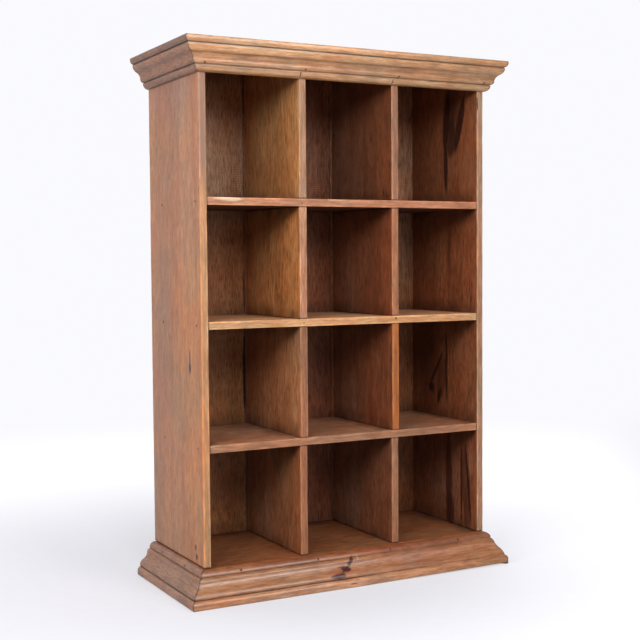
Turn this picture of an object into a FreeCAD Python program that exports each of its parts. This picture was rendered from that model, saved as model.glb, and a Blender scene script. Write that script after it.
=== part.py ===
import FreeCAD, Part
import math
import os
import Sketcher
from types import SimpleNamespace

# A free-standing rack of pigeonholes in thin hardwood boards, with a mitred cornice and plinth.
# Frame: +Z up, the open front towards -Y, origin on the floor in the middle of the whole part.

# Driving sizes in millimetres
SIZES = {
    # Carcass
    "carcass_width": 540.0,
    "carcass_depth": 225.0,
    "side_thickness": 12.0,
    "top_thickness": 12.0,
    "bottom_thickness": 12.0,
    "shelf_thickness": 12.5,
    "divider_thickness": 13.0,
    "pigeonhole_height": 184.3,
    "top_row_height": 233.6,
    "bottom_row_shift": 2.0,
    # Stopped housings in the sides, which hold the shelf ends
    "housing_depth": 4.0,
    "housing_stop": 8.0,
    # Upright back boards in a rebate of the sides
    "back_thickness": 12.0,
    "rebate_width": 6.0,
    "back_joint_offset": 10.0,
    "back_joint_gap": 0.8,
    # Moulding of the cornice and the plinth
    "moulding_projection": 32.5,
    "bead_radius": 10.0,
    "quirk": 1.2,
    "roll_radius": 5.8,
    "ogee_rise": 22.5,
    "nose_step": 4.3,
    "nose_swell": 7.3,
    "nose_round": 2.5,
    "cornice_nose_flat": 1.5,
    "plinth_nose_flat": 5.5,
    # Pieces hidden inside the plinth
    "rail_thickness": 12.0,
    "block_width": 25.0,
    "block_lift": 2.0,
    # Square cut nails in the boards, and the same in a shorter length for the mouldings
    "nail_head": 3.2,
    "nail_tip": 1.2,
    "nail_length": 30.0,
    "nail_front_inset": 20.0,
    "nail_rear_inset": 45.0,
    "back_nail_inset": 22.0,
    "pin_length": 22.0,
    "pin_sink": 2.0,
    "pin_inset": 60.0,
    # How far every cutting shape runs past the wood
    "cut_overrun": 5.0,
}

# Where a pin meets the round of the bead, as a share of the bead's height
BEAD_PIN_SHARE = 0.6

ROWS = ("bottom", "third", "second", "top")
TOP_ROW = len(ROWS) - 1
SHELVES = ("lower", "middle", "upper")
COLUMN_COUNT = 3
PLINTH_PIN_COUNT = 4

# Sketch geometry is named by point: its start, its end or its centre
START, END, CENTRE = range(1, 4)
ORIGIN = (-1, START)
X, Y, Z = FreeCAD.Vector(1, 0, 0), FreeCAD.Vector(0, 1, 0), FreeCAD.Vector(0, 0, 1)


# Sizes that stay tied to the sheet


class Size:
    """A length that keeps the sheet formula it comes from, so that sums of sizes keep theirs too."""

    def __init__(self, value, formula):
        self.value = value
        self.formula = formula

    def __add__(self, other):
        return Size(self.value + other.value, f"({self.formula} + {other.formula})")

    def __sub__(self, other):
        return Size(self.value - other.value, f"({self.formula} - {other.formula})")

    def __neg__(self):
        return self * -1

    def __mul__(self, factor):
        return Size(self.value * factor, f"({self.formula} * {factor})")

    def __truediv__(self, count):
        return Size(self.value / count, f"({self.formula} / {count})")


doc = FreeCAD.newDocument("pigeonhole_shelf")
sheet = doc.addObject("Spreadsheet::Sheet", "Sizes")
for line, (alias, length) in enumerate(SIZES.items(), start=1):
    sheet.set(f"A{line}", alias)
    sheet.set(f"B{line}", str(length))
    sheet.setAlias(f"B{line}", alias)
doc.recompute()

size = SimpleNamespace(**{alias: Size(length, f"Sizes.{alias}") for alias, length in SIZES.items()})
ZERO = Size(0.0, "0")

# Main planes of the part
left = -size.carcass_width / 2
right = size.carcass_width / 2
front = (size.moulding_projection - size.carcass_depth) / 2
back = (size.moulding_projection + size.carcass_depth) / 2
shelf_depth = size.carcass_depth - size.back_thickness
shelf_back = front + shelf_depth
inside_width = size.carcass_width - size.side_thickness * 2

# Heights of the moulding, counted from the end with the bead
roll_foot = size.bead_radius + size.quirk
ogee_foot = roll_foot + size.roll_radius
ogee_top = ogee_foot + size.ogee_rise
nose_foot = ogee_top + size.quirk
nose_full = nose_foot + size.nose_swell
cornice_height = nose_full + size.cornice_nose_flat + size.nose_round
plinth_height = nose_full + size.plinth_nose_flat + size.nose_round

# Levels of the boards, from the floor of the bottom row up
pitch = size.pigeonhole_height + size.shelf_thickness
shelf_tops = [plinth_height + pitch * (number + 1) for number in range(len(SHELVES))]
top_underside = shelf_tops[-1] + size.top_row_height
overall_height = top_underside + size.top_thickness
row_floors = [plinth_height] + shelf_tops
row_ceilings = [level - size.shelf_thickness for level in shelf_tops] + [top_underside]
cornice_foot = overall_height - cornice_height

# Dividers, evenly spread between the sides
divider_count = COLUMN_COUNT - 1
column_width = (inside_width - size.divider_thickness * divider_count) / COLUMN_COUNT


def divider_centre(number, row):
    """Middle plane of a divider. Those of the bottom row stand a little to the left of the others."""
    spacing = column_width + size.divider_thickness
    centre = left + size.side_thickness + spacing * (number + 1) - size.divider_thickness / 2
    return centre - size.bottom_row_shift if row == 0 else centre


# Helpers


def tie(thing, prop, length):
    """Bind one property of an object to a sheet formula."""
    thing.setExpression(prop, length.formula)


def place(thing, corner, turn=FreeCAD.Rotation()):
    """Turn an object and bind where its own origin lies."""
    thing.Placement = FreeCAD.Placement(FreeCAD.Vector(*(length.value for length in corner)), turn)
    for axis, length in zip("xyz", corner):
        tie(thing, f"Placement.Base.{axis}", length)


def box(name, low, high):
    """A plain board between two opposite corners."""
    board = doc.addObject("Part::Box", name)
    for prop, start, end in zip(("Length", "Width", "Height"), low, high):
        tie(board, prop, end - start)
    place(board, low)
    return board


def group(name, members):
    """Like pieces that share one name and stay separate solids."""
    compound = doc.addObject("Part::Compound", name)
    compound.Links = members
    return compound


def cut_from(blank, name, *tools):
    """A piece with the wood taken out where other pieces pass through it."""
    for number, tool in enumerate(tools, start=1):
        cut = doc.addObject("Part::Cut", name if number == len(tools) else f"{name}_cut_{number}")
        cut.Base = blank
        cut.Tool = tool
        blank = cut
    return blank


def sketch_on(body, role, name):
    """An empty sketch on one of the body's own origin planes."""
    plane = next(feature for feature in body.Origin.OriginFeatures if feature.Role == role)
    sketch = body.newObject("Sketcher::SketchObject", name)
    sketch.AttachmentSupport = [(plane, "")]
    sketch.MapMode = "FlatFace"
    return sketch


def dimension(sketch, kind, *where, length):
    """A driving dimension of a sketch, bound to a sheet formula."""
    index = sketch.addConstraint(Sketcher.Constraint(kind, *where, length.value))
    sketch.setExpression(f"Constraints[{index}]", length.formula)


def outline(sketch, corners):
    """A closed outline of straight lines, with each corner dimensioned from the sketch's origin."""
    first = sketch.GeometryCount
    points = [FreeCAD.Vector(across.value, along.value, 0) for across, along in corners]
    for start, end in zip(points, points[1:] + points[:1]):
        sketch.addGeometry(Part.LineSegment(start, end), False)
    for number, (across, along) in enumerate(corners):
        before = first + (number - 1) % len(corners)
        sketch.addConstraint(Sketcher.Constraint("Coincident", before, END, first + number, START))
        dimension(sketch, "DistanceX", *ORIGIN, first + number, START, length=across)
        dimension(sketch, "DistanceY", *ORIGIN, first + number, START, length=along)


def pad(body, sketch, length, side="One side", reverse=False):
    """Raise a sketch into a solid."""
    feature = body.newObject("PartDesign::Pad", f"{body.Name}_pad")
    feature.Profile = sketch
    feature.SideType = side
    feature.Reversed = reverse
    tie(feature, "Length", length)
    return feature


def pocket(body, sketch, depth, reverse=False):
    """Sink a sketch into a solid."""
    feature = body.newObject("PartDesign::Pocket", f"{body.Name}_pocket")
    feature.Profile = sketch
    feature.Reversed = reverse
    tie(feature, "Length", depth)
    return feature


# Boards of the carcass


def side_blank(name, hand):
    """A side: a board rebated along its rear inner edge, with three stopped housings for the shelves.

    Its own origin is the lower front corner of the outer face, and hand is the way to the inside.
    """
    body = doc.addObject("PartDesign::Body", name)
    inner = size.side_thickness * hand
    lip = (size.side_thickness - size.rebate_width) * hand
    plan = sketch_on(body, "XY_Plane", f"{name}_plan")
    outline(plan, [(ZERO, ZERO), (inner, ZERO), (inner, shelf_depth), (lip, shelf_depth),
                   (lip, size.carcass_depth), (ZERO, size.carcass_depth)])
    pad(body, plan, top_underside - plinth_height)

    housing = sketch_on(body, "YZ_Plane", f"{name}_housing")
    tie(housing, "AttachmentOffset.Base.z", inner)
    low = size.pigeonhole_height
    high = low + size.shelf_thickness
    stop = size.housing_stop
    outline(housing, [(stop, low), (shelf_depth, low), (shelf_depth, high), (stop, high)])
    groove = pocket(body, housing, size.housing_depth, reverse=hand < 0)

    rows = body.newObject("PartDesign::LinearPattern", f"{name}_housings")
    rows.Originals = [groove]
    rows.Direction = (housing, ["V_Axis"])
    rows.Mode = "Extent"
    rows.Occurrences = len(SHELVES)
    tie(rows, "Length", pitch * (len(SHELVES) - 1))
    body.Tip = rows
    place(body, (left if hand > 0 else right, front, plinth_height))
    return body


def shelf_blank(name, top):
    """A shelf whose ends enter the housings, notched at the front where the housings stop."""
    body = doc.addObject("PartDesign::Body", name)
    clear = inside_width / 2
    full = clear + size.housing_depth
    stop = size.housing_stop
    plan = sketch_on(body, "XY_Plane", f"{name}_plan")
    outline(plan, [(-clear, ZERO), (clear, ZERO), (clear, stop), (full, stop), (full, shelf_depth),
                   (-full, shelf_depth), (-full, stop), (-clear, stop)])
    pad(body, plan, size.shelf_thickness)
    place(body, (ZERO, front, top - size.shelf_thickness))
    return body


def divider_blank(number, row):
    """A short upright between two shelves, flush with them at the front."""
    centre = divider_centre(number, row)
    half = size.divider_thickness / 2
    return box(f"{ROWS[row]}_divider_{number}_blank",
               (centre - half, front, row_floors[row]), (centre + half, shelf_back, row_ceilings[row]))


def back_edges():
    """Left and right edges of the upright back boards, which part beside the dividers."""
    rebate = size.side_thickness - size.rebate_width
    joints = [divider_centre(number, TOP_ROW) - size.back_joint_offset for number in range(divider_count)]
    half_gap = size.back_joint_gap / 2
    starts = [left + rebate] + [joint + half_gap for joint in joints]
    ends = [joint - half_gap for joint in joints] + [right - rebate]
    return list(zip(starts, ends))


# Cornice and plinth


def moulding_profile(sketch, height):
    """Section of the moulding: bead, quirk, roll, cove and ovolo in one ogee, quirk and rounded nose.

    Across is the projection from the carcass, and up runs from the bead to the nose.
    """
    quirk = size.quirk
    roll_reach = size.bead_radius - quirk
    cove_reach = roll_reach + size.roll_radius
    nose_reach = size.moulding_projection
    ovolo_reach = nose_reach - size.nose_step
    nose_round = size.nose_round
    flat_top = height - nose_round
    bead_r, roll_r, round_r = size.bead_radius.value, size.roll_radius.value, nose_round.value

    # The cove and the ovolo are equal arcs that start and end upright and meet halfway
    turn = 2 * math.atan2(ovolo_reach.value - cove_reach.value, size.ogee_rise.value)
    ogee_r = size.ogee_rise.value / (2 * math.sin(turn))
    # The nose swells out to its full reach, where it is upright
    swell_out = nose_reach.value - ovolo_reach.value + quirk.value
    swell_r = (swell_out ** 2 + size.nose_swell.value ** 2) / (2 * swell_out)
    swell_turn = math.asin(size.nose_swell.value / swell_r)

    def point(across, up):
        return FreeCAD.Vector(across, up, 0)

    def arc(centre, radius, begin, finish):
        return Part.ArcOfCircle(Part.Circle(centre, Z, radius), begin, finish)

    def line(across, up, to_across, to_up):
        return Part.LineSegment(point(across.value, up.value), point(to_across.value, to_up.value))

    quarter = math.pi / 2
    bead_top = size.bead_radius
    shapes = [
        arc(point(0, bead_r), bead_r, -quarter, 0),
        line(bead_top, bead_top, roll_reach, bead_top),
        line(roll_reach, bead_top, roll_reach, roll_foot),
        arc(point(roll_reach.value, ogee_foot.value), roll_r, -quarter, 0),
        arc(point(cove_reach.value + ogee_r, ogee_foot.value), ogee_r, math.pi - turn, math.pi),
        arc(point(ovolo_reach.value - ogee_r, ogee_top.value), ogee_r, -turn, 0),
        line(ovolo_reach, ogee_top, ovolo_reach - quirk, ogee_top),
        line(ovolo_reach - quirk, ogee_top, ovolo_reach - quirk, nose_foot),
        arc(point(nose_reach.value - swell_r, nose_full.value), swell_r, -swell_turn, 0),
        line(nose_reach, nose_full, nose_reach, flat_top),
        arc(point(nose_reach.value - round_r, flat_top.value), round_r, 0, quarter),
        line(nose_reach - nose_round, height, ZERO, height),
        line(ZERO, height, ZERO, ZERO),
    ]
    sketch.addGeometry(shapes, False)
    bead, under_step, under_wall, roll, cove, ovolo = range(6)
    over_step, over_wall, swell, flat, over, top, rear = range(6, len(shapes))

    def relate(kind, *where):
        sketch.addConstraint(Sketcher.Constraint(kind, *where))

    lower_chain = (bead, under_step, under_wall, roll)
    upper_chain = (ovolo, over_step, over_wall, swell, flat, over, top, rear, bead)
    for chain in (lower_chain, upper_chain):
        for before, after in zip(chain, chain[1:]):
            relate("Coincident", before, END, after, START)
    relate("Coincident", roll, END, cove, END)
    relate("Coincident", bead, START, *ORIGIN)
    relate("Tangent", cove, START, ovolo, START)
    relate("Equal", cove, ovolo)
    for level in (under_step, over_step, top):
        relate("Horizontal", level)
    for upright in (under_wall, over_wall, flat, rear):
        relate("Vertical", upright)
    for round_part in (bead, roll, cove, ovolo, swell):
        relate("Horizontal", round_part, CENTRE, round_part, END)
    relate("Horizontal", over, CENTRE, over, START)
    for round_part in (bead, roll):
        relate("Vertical", round_part, CENTRE, round_part, START)
    relate("Vertical", over, CENTRE, over, END)

    dimension(sketch, "Radius", bead, length=size.bead_radius)
    dimension(sketch, "Radius", roll, length=size.roll_radius)
    dimension(sketch, "Radius", over, length=nose_round)
    for step in (under_step, over_step):
        dimension(sketch, "DistanceX", step, END, step, START, length=quirk)
    for wall in (under_wall, over_wall):
        dimension(sketch, "DistanceY", wall, START, wall, END, length=quirk)
    dimension(sketch, "DistanceY", roll, END, ovolo, END, length=size.ogee_rise)
    dimension(sketch, "DistanceY", swell, START, swell, END, length=size.nose_swell)
    dimension(sketch, "DistanceX", *ORIGIN, ovolo, END, length=ovolo_reach)
    dimension(sketch, "DistanceX", *ORIGIN, swell, END, length=nose_reach)
    dimension(sketch, "DistanceY", *ORIGIN, rear, START, length=height)


def moulding_blank(name, height, run, ends):
    """A strip of moulding along Y, facing +X, with its mitres. Ends holds the ways along Y that are mitred.

    Run is how far along Y the strip's rear corner lies at a mitred end.
    """
    body = doc.addObject("PartDesign::Body", name)
    profile = sketch_on(body, "XZ_Plane", f"{name}_profile")
    moulding_profile(profile, height)
    reach = size.moulding_projection
    if len(ends) == 2:
        pad(body, profile, (run + reach) * 2, side="Symmetric")
    else:
        pad(body, profile, run + reach, reverse=ends[0] > 0)

    mitre = sketch_on(body, "XY_Plane", f"{name}_mitre")
    over = size.cut_overrun
    for way in ends:
        outline(mitre, [(-over, (run - over) * way), (reach + over, (run + reach + over) * way),
                        (-over, (run + reach + over) * way)])
    pocket(body, mitre, height + over, reverse=True)
    return body


# The strips of both mouldings: which way each faces, where its rear corner is, and its mitred ends.
# A strip of the plinth is a strip of the cornice turned over about the axis that it faces along.
half_width = size.carcass_width / 2
STRIPS = {
    "front": (FreeCAD.Rotation(Z, -90), (ZERO, front), half_width, (-1, 1)),
    "left": (FreeCAD.Rotation(Z, 180), (left, back), size.carcass_depth, (1,)),
    "right": (FreeCAD.Rotation(Z, 0), (right, back), size.carcass_depth, (-1,)),
}
TURNED_OVER = FreeCAD.Rotation(X, 180)


def cornice_blank(where):
    facing, (across, along), run, ends = STRIPS[where]
    body = moulding_blank(f"cornice_{where}_blank", cornice_height, run, ends)
    place(body, (across, along, cornice_foot), facing)
    return body


def plinth_blank(where):
    facing, (across, along), run, ends = STRIPS[where]
    body = moulding_blank(f"plinth_{where}_blank", plinth_height, run, tuple(-way for way in ends))
    place(body, (across, along, plinth_height), facing.multiply(TURNED_OVER))
    return body


# Nails


def spike(name, head, way, length, end_width):
    """A square spike as wide as a nail's head where it starts, pointing a way."""
    wedge = doc.addObject("Part::Wedge", name)
    for axis in "XZ":
        tie(wedge, f"{axis}min", -size.nail_head / 2)
        tie(wedge, f"{axis}max", size.nail_head / 2)
        tie(wedge, f"{axis}2min", -end_width / 2)
        tie(wedge, f"{axis}2max", end_width / 2)
    tie(wedge, "Ymin", ZERO)
    tie(wedge, "Ymax", length)
    place(wedge, head, FreeCAD.Rotation(Y, way))
    return wedge


def nails(name, heads):
    """A group of long nails, from pairs of head and way."""
    return group(name, [spike(f"{name}_{number}", head, way, size.nail_length, size.nail_tip)
                        for number, (head, way) in enumerate(heads, start=1)])


def pins(name, heads):
    """Short nails for a moulding, and the square holes that their sunk heads leave in its face."""
    sunk = []
    holes = []
    for number, (surface, way) in enumerate(heads, start=1):
        head = tuple(at + size.pin_sink * part for at, part in zip(surface, way))
        sunk.append(spike(f"{name}_{number}", head, way, size.pin_length, size.nail_tip))
        mouth = size.pin_sink + size.cut_overrun
        holes.append(spike(f"{name}_{number}_hole", head, -way, mouth, size.nail_head))
    return group(name, sunk), group(f"{name}_holes", holes)


nail_rows = (front + size.nail_front_inset, shelf_back - size.nail_rear_inset)
side_middles = [left + size.side_thickness / 2, right - size.side_thickness / 2]
uprights_below_top = side_middles + [divider_centre(number, TOP_ROW) for number in range(divider_count)]
uprights_on_bottom = side_middles + [divider_centre(number, 0) for number in range(divider_count)]
shelf_middles = [top - size.shelf_thickness / 2 for top in shelf_tops]

shelf_nails = nails("shelf_nails", [((face, along, level), way) for level in shelf_middles
                                    for face, way in ((left, X), (right, -X)) for along in nail_rows])
top_nails = nails("top_nails", [((across, along, overall_height), -Z)
                                for across in uprights_below_top for along in nail_rows])
bottom_nails = nails("bottom_nails", [((across, along, plinth_height - size.bottom_thickness), Z)
                                      for across in uprights_on_bottom for along in nail_rows])
divider_nails = nails("divider_nails", [((divider_centre(number, row), along, shelf_tops[row]), -Z)
                                        for row in range(len(SHELVES)) for number in range(divider_count)
                                        for along in nail_rows])
back_nails = nails("back_nails", [((across, back, level), -Y) for level in shelf_middles
                                  for start, end in back_edges()
                                  for across in (start + size.back_nail_inset, end - size.back_nail_inset)])

# Pins go through the roll of the cornice, and through the bead of the plinth into the bottom board
diagonal = math.sqrt(0.5)
cornice_pin_reach = size.bead_radius - size.quirk + size.roll_radius * diagonal
cornice_pin_level = cornice_foot + roll_foot + size.roll_radius * (1 - diagonal)
plinth_pin_reach = size.bead_radius * math.sqrt(1 - (1 - BEAD_PIN_SHARE) ** 2)
plinth_pin_level = plinth_height - size.bead_radius * BEAD_PIN_SHARE
pin_rows = (front + size.pin_inset, back - size.pin_inset)
plinth_pin_spacing = (size.carcass_width - size.pin_inset * 2) / (PLINTH_PIN_COUNT - 1)
first_pin = left + size.pin_inset
plinth_pin_columns = [first_pin + plinth_pin_spacing * number for number in range(PLINTH_PIN_COUNT)]


def moulding_pins(name, columns, reach, level):
    """Pins through the front strip at some columns, and through both side strips at the two pin rows."""
    heads = [((across, front - reach, level), Y) for across in columns]
    for along in pin_rows:
        heads += [((left - reach, along, level), X), ((right + reach, along, level), -X)]
    return pins(name, heads)


cornice_pins, cornice_pin_holes = moulding_pins(
    "cornice_pins", uprights_below_top, cornice_pin_reach, cornice_pin_level)
plinth_pins, plinth_pin_holes = moulding_pins(
    "plinth_pins", plinth_pin_columns, plinth_pin_reach, plinth_pin_level)


# The pieces

pieces = [shelf_nails, top_nails, bottom_nails, divider_nails, back_nails, cornice_pins, plinth_pins]

bottom_low = plinth_height - size.bottom_thickness
bottom_blank = box("bottom_board_blank", (left, front, bottom_low), (right, back, plinth_height))
pieces.append(cut_from(bottom_blank, "bottom_board", bottom_nails, plinth_pins))
top_blank = box("top_board_blank", (left, front, top_underside), (right, back, overall_height))
pieces.append(cut_from(top_blank, "top_board", top_nails))

for side, hand in (("left", 1), ("right", -1)):
    blank = side_blank(f"{side}_side_blank", hand)
    pieces.append(cut_from(blank, f"{side}_side", shelf_nails, top_nails, bottom_nails, cornice_pins))

for shelf, top in zip(SHELVES, shelf_tops):
    blank = shelf_blank(f"{shelf}_shelf_blank", top)
    pieces.append(cut_from(blank, f"{shelf}_shelf", shelf_nails, divider_nails, back_nails))

for row, row_name in enumerate(ROWS):
    for number, hand in enumerate(("left", "right")):
        entering = [top_nails, cornice_pins] if row == TOP_ROW else [divider_nails]
        if row == 0:
            entering.append(bottom_nails)
        pieces.append(cut_from(divider_blank(number, row), f"{row_name}_row_{hand}_divider", *entering))

for where, (start, end) in zip(("left", "middle", "right"), back_edges()):
    blank = box(f"{where}_back_blank", (start, shelf_back, plinth_height), (end, back, top_underside))
    pieces.append(cut_from(blank, f"{where}_back_board", back_nails))

for where in STRIPS:
    pieces.append(cut_from(cornice_blank(where), f"cornice_{where}", cornice_pins, cornice_pin_holes))
    pieces.append(cut_from(plinth_blank(where), f"plinth_{where}", plinth_pins, plinth_pin_holes))

rail_front = back - size.rail_thickness
pieces.append(box("plinth_back_rail", (left, rail_front, ZERO), (right, back, bottom_low)))

blocks = []
for across in (left, right - size.block_width):
    for along in (front, rail_front - size.block_width):
        low = (across, along, size.block_lift)
        high = (across + size.block_width, along + size.block_width, bottom_low)
        blocks.append(box(f"glue_block_{len(blocks) + 1}", low, high))
pieces.append(group("plinth_glue_blocks", blocks))


# Checks and files

doc.recompute()
for thing in doc.Objects:
    if "Invalid" in thing.State or "Error" in thing.State:
        raise RuntimeError(f"{thing.Name} failed: {thing.State}")
    if thing.isDerivedFrom("PartDesign::Pocket") and thing.Shape.Volume >= thing.BaseFeature.Shape.Volume:
        raise RuntimeError(f"{thing.Name} cuts nothing")
    if thing.isDerivedFrom("Part::Cut") and thing.Shape.Volume >= thing.Base.Shape.Volume:
        raise RuntimeError(f"{thing.Name} takes no wood out")
for piece in pieces:
    if piece.Shape.isNull() or not piece.Shape.isValid():
        raise RuntimeError(f"{piece.Label} has no valid shape")
    if not piece.isDerivedFrom("Part::Compound") and len(piece.Shape.Solids) != 1:
        raise RuntimeError(f"{piece.Label} is not one solid")

os.makedirs("parts", exist_ok=True)
for piece in pieces:
    piece.Shape.exportStep(f"parts/{piece.Label}.step")
print(len(pieces), "pieces written")
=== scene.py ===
import math
import random
from collections import namedtuple

import bmesh
import bpy
from mathutils import Matrix, Vector, noise
from mathutils.bvhtree import BVHTree


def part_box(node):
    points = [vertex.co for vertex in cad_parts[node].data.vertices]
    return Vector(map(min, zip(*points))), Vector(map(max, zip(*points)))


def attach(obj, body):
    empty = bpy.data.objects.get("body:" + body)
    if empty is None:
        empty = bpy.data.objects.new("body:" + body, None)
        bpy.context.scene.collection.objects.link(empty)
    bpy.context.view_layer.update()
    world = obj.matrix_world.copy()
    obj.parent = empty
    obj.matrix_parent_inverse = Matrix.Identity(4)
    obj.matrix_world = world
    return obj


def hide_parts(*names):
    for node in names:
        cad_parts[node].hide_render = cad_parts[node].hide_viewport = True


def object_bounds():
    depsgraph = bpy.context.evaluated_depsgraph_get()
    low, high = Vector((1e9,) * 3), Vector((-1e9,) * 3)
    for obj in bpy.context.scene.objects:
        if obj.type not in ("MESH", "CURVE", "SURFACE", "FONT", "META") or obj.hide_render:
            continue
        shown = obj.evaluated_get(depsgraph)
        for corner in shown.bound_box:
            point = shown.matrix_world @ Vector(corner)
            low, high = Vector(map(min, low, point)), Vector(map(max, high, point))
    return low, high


# A rack of pigeonholes in oiled hardwood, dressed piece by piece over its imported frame.
# Lengths are in metres, in the frame of the part: +Z up and the open front towards -Y.
# A share is a ratio, and a span is where a change starts and where it ends.

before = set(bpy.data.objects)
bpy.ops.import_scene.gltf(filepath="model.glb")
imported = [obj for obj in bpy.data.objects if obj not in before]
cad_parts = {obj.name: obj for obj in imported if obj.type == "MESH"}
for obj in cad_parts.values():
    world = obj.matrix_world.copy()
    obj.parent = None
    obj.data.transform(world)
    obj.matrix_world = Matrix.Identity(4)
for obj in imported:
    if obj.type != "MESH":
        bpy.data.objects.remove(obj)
cad_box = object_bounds()

X, Y, Z = range(3)

# Results of a smooth step that goes up, and of one that goes down
RISE, FALL = (0.0, 1.0), (1.0, 0.0)

# Boards
ARRIS_EASE = 0.0008
WEAR_BAND = 0.0035
# Board ends are painted dark over this reach: grime and painted shade in the joints
GRIME_AND_SHADE_REACH = 0.003
ARRIS_GRIME_AND_SHADE_SHARE = 0.8
# How far painted shade and dust reach from a joint
DIRT_AND_SHADE_REACH = 0.03
BOARD_STEP = 0.012
BOARD_WOBBLE = 0.0002
WOBBLES_PER_METRE = 14
DENT_DEPTH = 0.0016
DENTS_PER_METRE = 55
DENT_START_SHARE = 0.15
FOOT_GAP = 0.0012
BACK_WIDENING = 0.0003
# Below zero, the long arrises of the back boards are painted dark: painted shade in their joints
BACK_ARRIS_SHADE = -0.4
ROUND_MIDDLE_SHARE = 1 - math.sqrt(0.5)
BAND_LIMIT_SHARE = 0.4
MERGE_DISTANCE = 0.00008

# Section of the moulding, from the bead to the nose
BEAD_RADIUS = 0.010
QUIRK = 0.0012
BESIDE_QUIRK_SHARE = 0.6
ROLL_RADIUS = 0.0058
OGEE_RISE = 0.0225
NOSE_STEP = 0.0043
NOSE_SWELL = 0.0073
NOSE_ROUND = 0.0025
ARC_STEPS = 7
MITRE_GAP = 0.00015
MOULDING_STEP = 0.015
MOULDING_WOBBLE = 0.0003

# Ways in which an arc of the section starts or ends, in degrees
DOWN, OUT, UP, IN = -90, 0, 90, 180

# The plinth is lifted at its right end, and use has rubbed and cleaned it, so that its quirks hold less
# grime and painted shade.
# The use grows along the front's right half, and is full from a share of that half on
PLINTH_LIFT = 0.0025
FULL_USE_SHARE = 0.5
RUBBED_SHARE = 0.6
CLEANED_AND_UNSHADED_SHARE = 0.6

# How much lighter or darker each part of a moulding is painted: partly wear, stains, hands and cleaning,
# partly painted light and shade by which way the part faces. Below zero it is darker
MOULDING_WEAR_AND_SHADING = {
    "cornice_front": {"bead": -0.3, "roll": -0.3, "cove": -0.6, "ovolo": 0.3, "nose": 0.3},
    "cornice_side": {"bead": 0.2, "roll": 0.2, "cove": 0.6, "ovolo": 0.6, "nose": -0.5},
    "plinth_front": {"bead": -0.5, "roll": -0.4, "cove": 0.4, "ovolo": 0.0, "nose": 0.3},
    "plinth_side": {"bead": 0.3, "roll": 0.3, "cove": 0.5, "ovolo": 0.3, "nose": 0.6},
}

# Nails
NAIL_PROUD = 0.0003
PIN_PROUD = 0.0001
NAIL_SIDES = 8
DOME_SHARE = 0.6
HAMMERED_SHARES = (0.8, 1.0)

# Faces that meet at less than this many degrees are shaded as one
BOARD_SMOOTH, MOULDING_SMOOTH, NAIL_SMOOTH = 50, 40, 30

# Seeds: one for all noise and chance, and the first of each kind of piece
NOISE_SEED = 7
SEED_SHIFT = (3.1, 7.7, 5.3)
LEFT_SIDE_SEED, RIGHT_SIDE_SEED = 1, 2
SHELF_SEED, DIVIDER_SEED, BACK_SEED = 3, 10, 20
LEFT_DIVIDER_SEED_STEP = 0.5
BOTTOM_SEED, TOP_SEED, RAIL_SEED = 30, 31, 32
MOULDING_SEED, BLOCK_SEED = 40, 50

# Wood grain: features per metre across it, how much more slowly each changes along it, and its detail
Grain = namedtuple("Grain", "per_metre along_share detail")
BANDS = Grain(16, 0.08, 3.0)
FIGURE = Grain(75, 0.3, 5.0)
STREAKS = Grain(300, 0.09, 4.0)
PORES = Grain(900, 0.07, 2.0)
BLOTCHES = Grain(14, 0.5, 4.0)
NOISE_ROUGHNESS = 0.6
NOISE_MIDDLE = (0.5, 0.5, 0.5)
PATCHES_PER_METRE, PATCH_DETAIL = 17.5, 5.0
WANDERS_PER_METRE, WANDER_DETAIL = 70, 4.0
WANDER_REACH = 0.006
SAW_CUTS_PER_METRE = 250
GRAIN_DEPTH = 0.0008
GRAIN_BUMP_SHARE, COAT_BUMP_SHARE = 0.3, 0.04
PORE_DEPTH_SHARE = 0.5

# What a tone is multiplied by where each feature is weak and where it is strong
BAND_SHARES = (0.90, 0.84, 0.79, 1.0), (1.08, 1.10, 1.10, 1.0)
FIGURE_SHARES = (0.89, 0.85, 0.81, 1.0), (1.10, 1.11, 1.12, 1.0)
STREAK_SHARES = (0.83, 0.78, 0.73, 1.0), (1.14, 1.15, 1.16, 1.0)
BLOTCH_SHARES = (1.08, 0.95, 0.84, 1.0), (0.93, 1.01, 1.04, 1.0)
PORE_SHARES = (1.16, 1.16, 1.16, 1.0), (0.55, 0.48, 0.41, 1.0)
SAW_SHARES = (0.80, 0.80, 0.83, 1.0), (1.14, 1.14, 1.14, 1.0)
UNCHANGED_SHARES = (1.0, 1.0, 1.0, 1.0)

# Between which values of its noise each effect comes in, and how strong it is at both ends
FEATURE_SPAN = (0.33, 0.67)
PORE_SPAN = (0.48, 0.62)
SAW_SPAN = (0.46, 0.58)
SAW_WAVE_SPAN = (-1.0, 1.0)
PAINTED_HIGHLIGHT_SPAN = (0.48, 0.58)
MARK_SPAN, MARK_SHARES = (0.3, 0.5), (0.75, 1.0)
WEAR_AND_SHADING_SPAN, WEAR_AND_SHADING_SHARES = (0.4, 0.6), (0.1, 0.5)
# Painted shade and dust in corners, and grime and painted shade in joints and quirks
DIRT_AND_SHADE_SPAN, DUST_AND_SHADE_SHARES, GRIME_AND_SHADE_SHARES = (0.35, 0.65), (0.15, 0.6), (0.5, 0.85)
POLISH_SPAN = (0.35, 0.65)

# How rough the grain is where it is smooth and where it is open, how strongly it shines,
# how much wax lies over it and how plain its pores are
Polish = namedtuple("Polish", "smooth open specular coat pores")
DRY = Polish(0.42, 0.60, 0.30, 0.0, 1.0)
SATIN = Polish(0.38, 0.56, 0.35, 0.0, 0.7)
WAXED = Polish(0.36, 0.55, 0.30, 0.7, 0.5)
COAT_ROUGHNESS = 0.2
DULL_END_SHARE = 0.15
EDGE_PORE_SHARE = 0.45

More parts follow.
